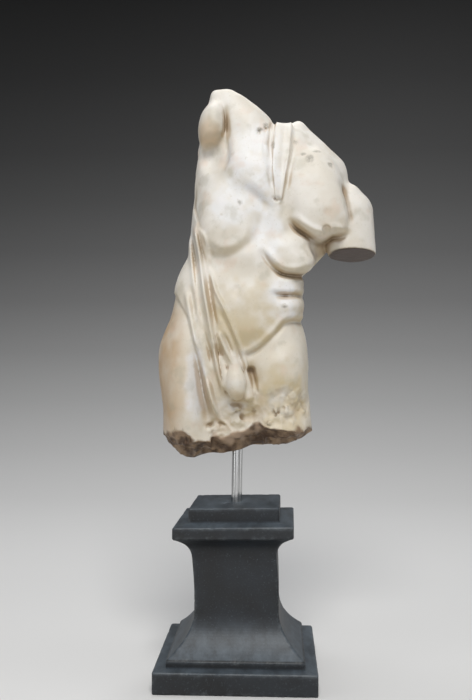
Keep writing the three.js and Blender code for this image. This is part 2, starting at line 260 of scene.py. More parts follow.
class Relief:
    """Heights over the x-z plane, drawn stroke by stroke and then read at any point."""

    STEP = 0.8
    LOW = (-125.0, 255.0)
    HIGH = (200.0, 775.0)

    def __init__(self):
        count = [int((h - l) / self.STEP) + 1 for l, h in zip(self.LOW, self.HIGH)]
        axes = [l + self.STEP * np.arange(n) for l, n in zip(self.LOW, count)]
        self.x, self.z = np.meshgrid(*axes, indexing="ij")
        self.height = np.zeros_like(self.x)

    def _near(self, line, margin):
        lo = np.clip((line.min(0) - margin - self.LOW) / self.STEP, 0, None).astype(int)
        hi = np.clip((line.max(0) + margin - self.LOW) / self.STEP, 0, None).astype(int) + 2
        return slice(lo[0], hi[0]), slice(lo[1], hi[1])

    def _off(self, points, width, ends):
        """Distance from a line, the side of it and a taper towards its two ends."""
        line = path(points)
        part = self._near(line, 3.2 * width)
        x, z = self.x[part], self.z[part]
        best, side, along = np.full(x.shape, 1e9), np.ones(x.shape), np.zeros(x.shape)
        run = 0.0
        for a, b in zip(line, line[1:]):
            s = b - a
            length = math.hypot(*s)
            t = np.clip(((x - a[0]) * s[0] + (z - a[1]) * s[1]) / length**2, 0, 1)
            ex, ez = x - a[0] - t * s[0], z - a[1] - t * s[1]
            d = ex * ex + ez * ez
            nearer = d < best
            best = np.where(nearer, d, best)
            side = np.where(nearer, np.sign(s[1] * ex - s[0] * ez + 1e-12), side)
            along = np.where(nearer, run + t * length, along)
            run += length
        taper = smooth(np.minimum(along, run - along) / ends)
        return part, np.sqrt(best) / width, side, taper

    def fold(self, points, width, height, ends=8.0):
        """A ridge, or with a height under 0 a groove."""
        part, q, _, taper = self._off(points, width, ends)
        self.height[part] += height * np.exp(-q * q) * taper

    def border(self, points, width, height, ends=8.0, lip=0.4):
        """A step: sunk on the left hand of the line's run, and raised by a share of that on its right."""
        part, q, side, taper = self._off(points, width, ends)
        step = np.where(side > 0, lip, -1.0) * height
        self.height[part] += step * 2.087 * q * np.exp(-0.8 * q * q) * taper

    def band(self, left, right, height, edge):
        """Raised between two edges that run up the piece; they are given as height, x."""
        left, right = np.asarray(left, float), np.asarray(right, float)
        inside = smooth((self.x - np.interp(self.z, left[:, 0], left[:, 1])) / edge + 0.5)
        inside *= smooth((np.interp(self.z, right[:, 0], right[:, 1]) - self.x) / edge + 0.5)
        self.height += height * inside * smooth((self.z - left[0, 0]) / edge + 0.5)

    def swell(self, centre, radii, height, tilt=0.0):
        """A soft dome, or with a height under 0 a hollow."""
        a = math.radians(tilt)
        dx, dz = self.x - centre[0], self.z - centre[1]
        u = (dx * math.cos(a) - dz * math.sin(a)) / radii[0]
        v = (dx * math.sin(a) + dz * math.cos(a)) / radii[1]
        self.height += height * smooth(1 - np.hypot(u, v))

    def at(self, x, z):
        i = np.clip((x - self.LOW[0]) / self.STEP, 0, self.x.shape[0] - 1.001)
        k = np.clip((z - self.LOW[1]) / self.STEP, 0, self.x.shape[1] - 1.001)
        i0, k0 = i.astype(int), k.astype(int)
        a, b = i - i0, k - k0
        h = self.height
        low = h[i0, k0] * (1 - b) + h[i0, k0 + 1] * b
        high = h[i0 + 1, k0] * (1 - b) + h[i0 + 1, k0 + 1] * b
        return low * (1 - a) + high * a


# where the cloth ends towards the belly, and where it crosses the thigh: height, x
HEM = [
    (320, 30), (360, 20), (392, 14), (425, 3), (465, -13), (494, -27), (547, -41), (600, -57), (690, -52),
]
LAP = [(300, -30), (345, -38), (408, -50), (456, -62), (486, -80), (500, -100)]


def cloth_cover(x, z):
    """1 where cloth lies over the body."""
    hem, lap = np.asarray(HEM, float), np.asarray(LAP, float)
    inside = smooth((np.interp(z, hem[:, 0], hem[:, 1]) - x) / 6 + 0.5) * smooth((672 - z) / 70)
    inside = inside * smooth((z - 330) / 40)
    return inside * smooth((x - np.interp(z, lap[:, 0], lap[:, 1])) / 5 + 0.5)


def draw_muscles(r):
    # under the raised shoulder: a hollow, and the edge of the chest beside it
    r.swell((-29, 664), (24, 32), -12)
    r.border([(-22, 640), (-11, 650), (-8, 662), (-11, 683), (-14, 697)], 6, 4.5, 18, lip=0.2)
    r.fold([(-20, 735), (-17, 716), (-14, 698), (-10, 672), (-8, 655)], 5, -3.0, 24)
    # lower border of the raised chest
    r.border([(54, 588), (44, 597), (32, 609), (18, 620), (2, 628)], 8, 2.8, 26, lip=0.7)
    # lower edge of the stretched ribs
    r.border([(22, 573), (12, 552), (-8, 540), (-27, 542), (-38, 560)], 7, 2.0, 22, lip=1.0)
    # valley between the two halves of the ribs
    r.fold([(41, 594), (32, 580), (25, 562), (17, 548), (4, 538)], 9, -2.0, 24)
    # lower border of the other chest
    run = [
        (142, 572), (134, 564), (122, 563), (112, 559), (104, 559),
        (95, 562), (86, 567), (75, 575), (66, 585),
    ]
    r.border(run, 5.5, 5.0, 16, lip=0.7)
    r.swell((98, 544), (34, 17), -5.0)
    r.fold([(112, 596), (112, 580), (114, 566)], 5, -1.6, 12)
    # lower edge of the ribs over the waist
    run = [(98, 524), (88, 517), (75, 513), (60, 514), (48, 522), (38, 534), (32, 546)]
    r.border(run, 5, 3.6, 18, lip=0.8)
    # middle of the belly
    r.fold([(20, 535), (12, 512), (2, 494), (0, 470)], 9, -1.5, 24)
    r.fold([(66, 575), (60, 556), (66, 544)], 6, -1.2, 12)
    # waist furrow and the lower edge of the roll over the hip
    r.border([(92, 488), (72, 487), (54, 486), (38, 491)], 5, 2.6, 16, lip=0.9)
    r.fold([(48, 487), (58, 485), (66, 486)], 4.5, -2.0, 8)
    run = [(98, 456), (84, 454), (68, 454), (58, 449), (47, 436), (31, 421), (16, 412), (2, 410)]
    r.border(run, 4.2, 2.4, 14, lip=0.7)
    r.swell((46, 414), (44, 17), -2.5, tilt=-22)
    # the belly is fuller low down than round the navel
    r.swell((24, 440), (34, 24), 2.0)
    r.swell((2, 470), (16, 40), -1.6, tilt=-14)
    # navel, and the crease between arm and chest
    r.swell((0, 488), (7.5, 11), -2.0)
    r.swell((0, 487), (4, 6), 0.9)
    r.fold([(130, 636), (136, 612), (141, 592), (143, 579), (138, 564)], 4, -3.0, 20)


def draw_strap(r):
    """A band of cloth down the chest with its end folded under, and locks of hair beside it."""
    left = [(604, 49), (640, 45.5), (665, 45.5), (694, 48), (712, 50)]
    right = [(604, 57), (615, 58.5), (640, 62.5), (665, 67), (694, 69.5), (712, 70)]
    r.band(left, right, 3.0, 3.0)
    r.fold([(70, 712), (69.5, 694), (67, 665), (62.5, 640), (58.5, 615), (54, 597)], 2.4, 2.0, 6)
    r.fold([(73, 700), (71.5, 665), (67, 637), (63, 612)], 4, -2.0, 14)
    r.fold([(43, 712), (42.5, 694), (41, 665), (41, 640), (45, 612)], 3.2, -2.6, 14)
    r.fold([(60, 712), (58, 665), (56, 630)], 3, -0.8, 16)
    r.fold([(45, 608), (50, 604), (56, 607)], 2.6, -2.4, 4)
    r.fold([(34, 705), (39, 690), (37, 676), (41, 655), (39, 635)], 3.0, 1.8, 16)
    r.fold([(27, 702), (33, 688), (31, 672), (34, 656)], 2.8, 1.5, 14)
    r.fold([(37, 701), (36, 692)], 2.2, -3.0, 3)
    r.fold([(29, 697), (27, 688)], 2.2, -2.6, 3)


def draw_folds(r):
    # long folds from the side down to the knot, with the valleys between them
    run = [(-64, 570), (-61, 540), (-57, 522), (-53, 497), (-49, 475), (-46, 458), (-38, 434), (-31, 405)]
    r.fold(run, 3.4, 4.5, 26)
    run = [
        (-56, 580), (-50, 545), (-45, 514), (-41, 488), (-37, 466),
        (-33, 443), (-28, 419), (-24, 393), (-19, 373), (-15, 352),
    ]
    r.fold(run, 3.4, 7.0, 26)
    run = [(-57, 545), (-52, 500), (-48, 473), (-43, 450), (-38, 430), (-33, 409), (-30, 388)]
    r.fold(run, 3.2, -5.0, 24)
    r.fold([(-60, 500), (-56, 478), (-52, 455)], 2.8, -2.5, 14)
    r.fold([(-38, 520), (-34, 490), (-29, 462), (-23, 437)], 3.6, -3.6, 22)
    r.fold([(-49, 572), (-41, 557), (-37, 542), (-33, 520)], 2.6, 2.4, 14)
    # the hem over the belly and the fold inside it
    run = [(-34, 520), (-26, 490), (-19, 475), (-8, 453), (3, 423), (10, 406), (13, 391), (10, 374)]
    r.fold(run, 2.8, 3.2, 22)
    r.fold([(-24, 470), (-14, 448), (-4, 428), (4, 404), (7, 392)], 3.4, -2.8, 18)
    r.fold([(-24, 440), (-16, 420), (-7, 401), (0, 388)], 3.0, 5.0, 12)
    r.fold([(-27, 425), (-21, 405), (-16, 390), (-11, 372)], 3.6, -6.0, 16)
    r.fold([(-17, 438), (-10, 422), (-3, 404)], 2.8, -2.4, 12)
    # the lap that crosses the thigh, and the valley under it
    run = [(-67, 498), (-62, 471), (-57, 451), (-52, 430), (-45, 409), (-40, 386), (-33, 358), (-26, 330)]
    r.fold(run, 3.4, 4.0, 24)
    r.fold([(-57, 430), (-49, 398), (-45, 360), (-40, 327), (-37, 296)], 9.0, -8.5, 40)
    r.fold([(-38, 380), (-31, 350), (-22, 325)], 3.2, 4.0, 14)
    # the thigh rounds into the cleft beside the cloth
    r.fold([(15, 402), (22, 385), (27, 362)], 8, -3.5, 14)
    r.swell((1, 348), (15, 9), -6.0)


def draw_back(r):
    """Spine, furrow of the seat and the cloth that hangs behind the raised side."""
    r.fold([(62, 700), (52, 640), (34, 570), (12, 500), (0, 450), (-2, 420)], 8, -6, 40)
    r.fold([(-2, 440), (-3, 400), (-2, 350), (-2, 300)], 6, -9, 30)
    r.fold([(22, 560), (0, 500), (-14, 455)], 12, 3, 40)
    r.fold([(60, 560), (34, 500), (16, 455)], 12, 3, 40)
    # first ridge of the hanging cloth, and how far each of its points moves by the last one
    spread = [
        (-40, 670, 22, -6), (-48, 600, 24, 0), (-56, 520, 30, 0),
        (-78, 430, 46, 0), (-84, 340, 50, 0), (-80, 270, 50, 0),
    ]
    for k in range(6):
        t = k / 5
        ridge = [(x + t * dx, z + t * dz) for x, z, dx, dz in spread]
        groove = [(x + 6.5, z) for x, z in ridge]
        r.fold(ridge, 4.5 - 1.2 * (k % 2), 3.2 + 0.8 * (k % 3), 50)
        r.fold(groove, 3.2, -2.6, 50)


front_relief = Relief()
draw_muscles(front_relief)
draw_strap(front_relief)
cover = cloth_cover(front_relief.x, front_relief.z)
front_relief.height = front_relief.height * (1 - 0.8 * cover) + 2.6 * cover
draw_folds(front_relief)
back_relief = Relief()
draw_back(back_relief)

# the broken underside: x, height at the back, height at the front rim
BREAK = [
    (-110, 318, 312), (-98, 303, 309), (-88, 290, 308), (-79, 281, 307), (-68, 275, 303), (-57, 275, 300),
    (-40, 280, 303), (-28, 281, 316), (0, 285, 321), (17, 290, 323), (29, 291, 325), (43, 292, 314),
    (63, 293, 314), (82, 299, 316), (97, 312, 318), (110, 322, 322),
]


def break_height(p):
    x, y, _ = p
    rows = np.asarray(BREAK, float)
    low, rim = np.interp(x, rows[:, 0], rows[:, 1]), np.interp(x, rows[:, 0], rows[:, 2])
    steep = np.exp(-(((x + 4) / 26) ** 2))
    slope = np.clip((2 - 20 * steep - y) / (50 - 20 * steep), 0, 1.2)
    # shell-like scoops with sharp ridges between them
    scoops = 13 * np.abs(rough(p, 22, 1)) + 4.5 * np.abs(rough(p, 10, 3)) + 1.0 * rough(p, 4.5, 2)
    fade = smooth((slope + 0.12) * 3 * smooth((1.15 - slope) * 6))
    return low + (rim - low) * slope + (scoops - 4.5) * fade


# battered places on the front: x, z, half width, half height, depth
BATTERED = [(62, 341, 35, 35, 5.0), (6, 328, 36, 26, 4.2), (-24, 312, 24, 20, 3.5)]


def battering(p):
    """How much of the front has been knocked off, in millimetres."""
    x, _, z = p
    lumps = 0.6 * rough(p, 13, 11) + 0.5 * rough(p, 7, 12) + 0.15 * rough(p, 3.5, 13)
    depth = 0
    for cx, cz, rx, rz, most in BATTERED:
        reach = np.hypot((x - cx) / rx, (z - cz) / rz) + 0.25 * lumps
        depth = np.maximum(depth, most * smooth((1 - reach) * 2))
    return depth * (0.7 + 1.1 * lumps)


def torso(p):
    """Distance in millimetres to the finished marble, under 0 inside it."""
    x, y, z = p
    f = volumes(p)
    f = f - front_relief.at(x, z) * smooth((18 - y) / 30)
    f = f - back_relief.at(x, z) * smooth((y - 20) / 16)
    # gathered cloth between the thighs: strands that swell where they are drawn together
    knot = limb(p, (-20, -44, 404), (-11, -46, 371), 4.5, 7.5)
    knot = join(knot, limb(p, (-5, -44, 410), (0, -50, 374), 5, 11), 2)
    knot = join(knot, limb(p, (9, -42, 396), (15, -43, 356), 4.5, 6.5), 2)
    knot = join(knot, egg(p, (-1, -45, 372), (13.5, 18, 21), tilt=-8), 4)
    f = join(f, knot, 3)
    f = carve(f, limb(p, (18, -45, 389), (26, -50, 362), 5.2, 1.2, flat=0.5), 3)
    # the gap between the side and the hanging arm
    f = carve(f, limb(p, (113, -52, 566), (117, -26, 540), 4, 7.5), 5)
    f = f + battering(p) * smooth((10 - y) / 20)
    # the hand of the carver and long weather: very slight waves
    f = f + 0.45 * rough(p, 19, 21) + 0.2 * rough(p, 8, 22)
    return keep(f, (break_height(p) - z) * 0.8, 1.2)


# ---------------------------------------------------------------- skin over a volume

CELL = 1.5
BLOCK = 8
REACH = ((-123.0, -90.0, 262.0), (195.0, 95.0, 772.0))
MOST_TRIANGLES = 192000


def unpinched(values):
    """Two skins would meet where a square's corners alternate, so its weakest corner changes side."""
    move = np.eye(3, dtype=int)
    for a, b in ((0, 1), (0, 2), (1, 2)):
        square = [0 * move[a], move[a], move[a] + move[b], move[b]]
        size = np.array(values.shape) - move[a] - move[b]
        for _ in range(3):
            inside = [values[tuple(slice(o, o + m) for o, m in zip(spot, size))] < 0 for spot in square]
            bad = (inside[0] == inside[2]) & (inside[1] == inside[3]) & (inside[0] != inside[1])
            if not bad.any():
                break
            for where in np.argwhere(bad):
                weakest = min((tuple(where + spot) for spot in square), key=lambda c: abs(values[c]))
                values[weakest] *= -0.5
    return values


def sampled(field, low, high, cell):
    """The field on a grid. Blocks that lie well off the surface are only filled with their sign."""
    side = cell * BLOCK
    count = np.ceil((np.array(high) - low) / side).astype(int)
    block = np.stack(np.meshgrid(*[np.arange(n) for n in count], indexing="ij"), -1).reshape(-1, 3)
    coarse = field(list((low + (block + 0.5) * side).T))
    values = np.repeat(np.repeat(np.repeat(coarse.reshape(count), BLOCK, 0), BLOCK, 1), BLOCK, 2)
    nested = values.reshape(count[0], BLOCK, count[1], BLOCK, count[2], BLOCK).transpose(0, 2, 4, 1, 3, 5)
    inner = np.stack(np.meshgrid(*[np.arange(BLOCK)] * 3, indexing="ij"), -1)
    near = block[np.abs(coarse) < 1.4 * side]
    for some in np.array_split(near, len(near) // 300 + 1):
        p = low + (some[:, None, None, None, :] * BLOCK + inner) * cell
        nested[tuple(some.T)] = field([p[..., 0], p[..., 1], p[..., 2]])
    return unpinched(values)


def skin(field, low, high, cell):
    """Points and quads of the closed surface where the field is 0."""
    values = sampled(field, np.array(low), high, cell)
    inside = values < 0
    n = np.array(values.shape)
    corners = [(a, b, c) for a in (0, 1) for b in (0, 1) for c in (0, 1)]
    total = sum(inside[a:n[0] - 1 + a, b:n[1] - 1 + b, c:n[2] - 1 + c].astype(np.int8) for a, b, c in corners)
    cells = np.argwhere((total > 0) & (total < 8))
    number = np.full(n - 1, -1, int)
    number[tuple(cells.T)] = np.arange(len(cells))
    place = np.zeros((len(cells), 3))
    count = np.zeros(len(cells))
    pairs = [(s, e) for s in corners for e in corners if sum(e) - sum(s) == 1]
    edges = [(s, e) for s, e in pairs if all(b >= a for a, b in zip(s, e))]
    for s, e in edges:
        a = values[tuple((cells + s).T)]
        b = values[tuple((cells + e).T)]
        cross = (a < 0) != (b < 0)
        t = np.where(cross, a / np.where(cross, a - b, 1), 0)[:, None]
        place += np.where(cross[:, None], np.array(s) + t * (np.array(e) - s), 0)
        count += cross
    place = np.array(low) + (cells + place / count[:, None]) * cell
    quads = []
    for axis in range(3):
        u, v = (axis + 1) % 3, (axis + 2) % 3
        step = np.eye(3, dtype=int)
        hit = np.argwhere(inside != np.roll(inside, -1, axis=axis))
        hit = hit[(hit[:, axis] < n[axis] - 1) & (hit[:, u] > 0) & (hit[:, v] > 0)]
        four = [number[tuple((hit - o).T)] for o in (step[u] * 0, step[u], step[u] + step[v], step[v])]
        ring = np.stack(four, 1)
        outward = inside[tuple(hit.T)]
        ring[~outward] = ring[~outward][:, ::-1]
        quads.append(ring)
    return place, np.vstack(quads)


def gradient(field, points, reach=0.6):
    slopes = []
    for axis in np.eye(3) * reach:
        ahead, behind = field(list((points + axis).T)), field(list((points - axis).T))
        slopes.append((ahead - behind) / (2 * reach))
    return np.stack(slopes, 1)


def settle(field, points, rounds=3, most=0.9):
    """Moves the points onto the surface."""
    for _ in range(rounds):
        g = gradient(field, points)
        d = field(list(points.T))
        move = -d[:, None] * g / np.maximum((g * g).sum(1, keepdims=True), 0.2)
        length = np.linalg.norm(move, axis=1, keepdims=True)
        points = points + move * np.minimum(1, most / np.maximum(length, 1e-9))
    return points


def put_in_scene(name, data):
    ob = bpy.data.objects.new(name, data)
    bpy.context.scene.collection.objects.link(ob)
    return ob


def applied(ob):
    """The mesh of a piece with its modifiers worked in."""
    bpy.context.view_layer.update()
    return bpy.data.meshes.new_from_object(ob.evaluated_get(bpy.context.evaluated_depsgraph_get()))


def finished_mesh(name, points, faces):
    me = bpy.data.meshes.new(name)
    me.from_pydata((points * MM).tolist(), [], faces)
    me.polygons.foreach_set("use_smooth", [True] * len(me.polygons))
    me.update()
    return put_in_scene(name, me)


def thinned(ob, most):
    """Keeps the small triangles where the surface bends and drops them where it is smooth."""
    faces = sum(len(f.vertices) - 2 for f in ob.data.polygons)
    modifier = ob.modifiers.new("thin", "DECIMATE")
    modifier.ratio = min(1.0, most / faces)
    modifier.use_collapse_triangulate = True
    mesh = applied(ob)
    ob.modifiers.remove(modifier)
    ob.data = mesh


# ---------------------------------------------------------------- the marble piece


def within(p, centre, radii, seed=0, ragged=0.0):
    """1 in the middle of an ellipsoid of the stone, 0 outside it, with a ragged edge."""
    d = np.sqrt(sum(((a - c) / r) ** 2 for a, c, r in zip(p, centre, radii)))
    if ragged:
        d = d + ragged * rough(p, 9, seed)
    return smooth((1 - d) * 2)


# dark weather marks on the chest and shoulder: x, z, half width, half height
MARKS = [
    (37, 702, 5, 6), (29, 696, 6, 4), (46, 675, 3, 7), (75, 681, 4, 4), (93, 657, 7, 7), (103, 668, 9, 3),
    (-50, 631, 3, 5), (84, 664, 4, 3), (118, 650, 5, 4), (60, 470, 5, 4), (5, 600, 3, 4),
]

# coloured places: mask, share, centre, half sizes, then the seed and raggedness of the edge
STAINS_AND_PAINTED_SHADE = [
    ("tan", 1.0, (-92, -10, 384), (46, 80, 130), 0, 0.0),
    # painted shade: a tan tint under the bulge of the raised arm
    ("tan", 0.7, (-36, -40, 690), (24, 34, 28), 4, 0.2),
    ("cool", 1.0, (22, -50, 650), (48, 46, 74), 5, 0.2),
    ("cool", 1.0, (-8, -60, 596), (34, 40, 36), 6, 0.2),
    ("cool", 1.0, (40, -60, 565), (26, 40, 50), 7, 0.2),
    ("cool", 1.0, (62, -60, 482), (30, 40, 40), 8, 0.2),
    ("cool", 1.0, (-52, -50, 372), (16, 50, 70), 9, 0.2),
    ("warm", 0.4, (10, -60, 455), (50, 50, 56), 10, 0.3),
    ("warm", 0.5, (60, -50, 345), (50, 60, 60), 11, 0.3),
    ("pale_break", 1.0, (-4, -45, 305), (34, 26, 32), 13, 0.5),
]
STAINS_AND_PAINTED_SHADE += [("mark", 1.0, (x, -45, z), (w, 40, h), 12, 0.2) for x, z, w, h in MARKS]


def build_torso():
    points, quads = skin(torso, *REACH, CELL)
    ob = finished_mesh("marble_torso", settle(torso, points, 1), quads.tolist())
    thinned(ob, MOST_TRIANGLES)
    points = np.empty(3 * len(ob.data.vertices), np.float32)
    ob.data.vertices.foreach_get("co", points)
    points = settle(torso, points.reshape(-1, 3).astype(float) / MM, 2)
    ob.data.vertices.foreach_set("co", (points * MM).astype(np.float32).ravel())
    ob.data.update()
    normal = gradient(torso, points)
    normal /= np.maximum(np.linalg.norm(normal, axis=1, keepdims=True), 1e-9)
    p = list(points.T)
    # how far the stone closes in round a point: near for soil and painted shade in the creases, far for
    # painted shade with some soil
    near = 1 - torso(list((points + 4 * normal).T)) / 4
    far = 1 - torso(list((points + 14 * normal).T)) / 14
    # old breaks: brown, darkened with painted shade
    brk = smooth((4.5 - (p[2] - break_height(p))) / 4)
    # painted shade: the face of the arm's cut that turns down is drawn darker brown
    arm_end = smooth((2.5 - (p[2] - arm_cut(p[1]))) / 2) * smooth((p[0] - 112) / 5)
    arm_end = arm_end * smooth((-normal[:, 2] - 0.3) * 3)
    masks = {
        "hollow": near,
        "soil_and_painted_shade": far,
        "broken": brk + arm_end,
        "tan": 0,
        "cool": 0,
        # a soil stain low on the body, and painted shade: faces that turn down are tinted yellow
        "warm": 0.3 * smooth((560 - p[2]) / 120) + 0.65 * smooth((0.2 - normal[:, 2]) / 0.9),
        "pale_break": 0,
        "cut": arm_end,
        "mark": 0,
    }
    for name, share, centre, radii, seed, ragged in STAINS_AND_PAINTED_SHADE:
        masks[name] = masks[name] + share * within(p, centre, radii, seed, ragged)
    for name, values in masks.items():
        layer = ob.data.attributes.new(name, "FLOAT", "POINT")
        layer.data.foreach_set("value", np.clip(values, 0, 1).astype(np.float32))
    return ob


# ---------------------------------------------------------------- nodes


def add(tree, kind, inputs=None, **settings):
    """One node with its settings. An input is a value, a socket, or a node for its first output."""
    made = tree.nodes.new(kind)
    for name, value in settings.items():
        setattr(made, name, value)
    for key, value in (inputs or {}).items():
        if isinstance(value, bpy.types.Node):
            value = value.outputs[0]
        if isinstance(value, bpy.types.NodeSocket):
            tree.links.new(value, made.inputs[key])
        else:
            made.inputs[key].default_value = value
    return made


# ---------------------------------------------------------------- the plinth


BASE_HALF, BASE_TOP = 100.0, 26.5
STEP_HALF, STEP_TOP = 85.0, 36.0
SHAFT_HALF, SHAFT_LOW, SHAFT_HIGH = 53.0, 88.0, 148.0
CAP_HALF, CAP_BOTTOM, CAP_TOP, CAP_CROWN = 75.0, 180.5, 196.0, 198.5
BLOCK_HALF, BLOCK_TOP = 57.0, 217.0
CAP_TWIST, CAP_SHIFT, CAP_TILT = -0.016, -2.5, 0.018
# the flare meets the step, and the hollow under the cap meets the cap, at these half widths
FLARE_HALF, HOLLOW_HALF = 84.0, 72.0
ARRIS = 1.3
ROW = 3.0
COLUMNS = 56


def plinth_profile():
    """Half width and height up the plinth, with each arris eased, and how near each point is to an arris."""
    flare, hollow = [], []
    for t in np.linspace(0, 1, 17):
        half = SHAFT_HALF + (FLARE_HALF - SHAFT_HALF) * (1 - t) ** 2.1
        flare.append((half, STEP_TOP + t * (SHAFT_LOW - STEP_TOP)))
    for t in np.linspace(0, 1, 14):
        half = SHAFT_HALF + (HOLLOW_HALF - SHAFT_HALF) * t**3
        hollow.append((half, SHAFT_HIGH + (CAP_BOTTOM - SHAFT_HIGH) * t**0.9))
    sharp = [(BASE_HALF, 0), (BASE_HALF, BASE_TOP), (STEP_HALF, BASE_TOP), (STEP_HALF, STEP_TOP)]
    upper = [(CAP_HALF, CAP_BOTTOM + 1), (CAP_HALF, CAP_TOP)]
    upper += [(BLOCK_HALF, CAP_CROWN), (BLOCK_HALF, BLOCK_TOP)]
    outline = [(0, 0)] + sharp + flare + hollow + upper + [(0, BLOCK_TOP)]
    corners = set(sharp + upper) - {(STEP_HALF, BASE_TOP), (BLOCK_HALF, CAP_CROWN)}
    line = []
    for before, here, after in zip([None] + outline, outline, outline[1:] + [None]):
        if here in corners:
            for other in (before, after):
                d = np.subtract(other, here)
                line.append(tuple(np.add(here, d / np.hypot(*d) * ARRIS)))
        else:
            line.append(here)
    rows = [line[0]]
    for a, b in zip(line, line[1:]):
        n = max(1, math.ceil(math.dist(a, b) / ROW))
        rows += [tuple(np.add(a, np.subtract(b, a) * k / n)) for k in range(1, n + 1)]
    worn = [max(0.0, 1 - min(math.dist(r, c) for c in corners) / 5) for r in rows]
    return rows, worn


